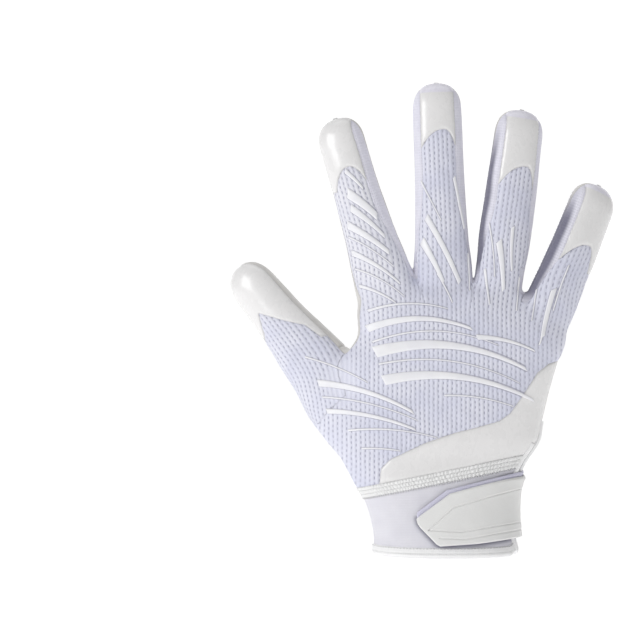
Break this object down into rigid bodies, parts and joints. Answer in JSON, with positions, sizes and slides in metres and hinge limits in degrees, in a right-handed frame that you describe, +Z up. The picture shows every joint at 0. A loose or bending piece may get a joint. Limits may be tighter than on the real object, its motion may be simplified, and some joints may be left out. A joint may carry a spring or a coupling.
{
  "type": "football receiver glove",
  "caption": "Right-hand football receiver glove: grip-leather palm, knit back with raised bars, elastic wrist band, slit cuff and wrap-over closing strap.",
  "frame": {"origin": "centre of the wrist opening, in the plane of the hem's lower edge", "axes": "+Z up from the wrist to the fingertips, -Y the back of the hand, +Y the palm, -X the thumb's side, +X the little finger's side"},
  "size_m": [0.1919, 0.0638, 0.2385],
  "materials": {
    "palm_leather": "semi-gloss grip leather, warm grey-white",
    "tip_leather": "glossy off-white leather",
    "back_knit": "matt lilac-white mesh knit",
    "side_knit": "smooth matt lilac stretch fabric",
    "elastic": "gathered elastic, matt white",
    "cuff_fabric": "matt padded stretch fabric",
    "binding": "folded woven binding, matt white",
    "strap_backing": "matt lilac fabric",
    "strap_rubber": "moulded off-white, satin",
    "pull_tab": "woven lilac ribbon",
    "rib_print": "raised print, satin white"
  },
  "bodies": {
    "root": {"back_knit": "back_knit", "closure_strap": "strap_rubber", "cuff_fabric": "cuff_fabric", "hem_binding": "binding", "palm_leather": "palm_leather", "pull_tab": "pull_tab", "rib_index_1": "rib_print", "rib_index_2": "rib_print", "rib_knuckle_1": "rib_print", "rib_knuckle_2": "rib_print", "rib_knuckle_3": "rib_print", "rib_little_1": "rib_print", "rib_middle_1": "rib_print", "rib_ring_1": "rib_print", "rib_thumb_1": "rib_print", "rib_thumb_2": "rib_print", "side_wall_index_middle": "side_knit", "side_wall_middle_ring": "side_knit", "side_wall_ring_little": "side_knit", "slit_binding_back": "binding", "slit_binding_palm": "binding", "strap_backing": "strap_backing", "thumb_cap": "tip_leather", "thumb_leather": "palm_leather", "tip_cap_index": "tip_leather", "tip_cap_little": "tip_leather", "tip_cap_middle": "tip_leather", "tip_cap_ring": "tip_leather", "wrist_elastic": "elastic", "wrist_leather": "tip_leather"}
  },
  "joints": []
}
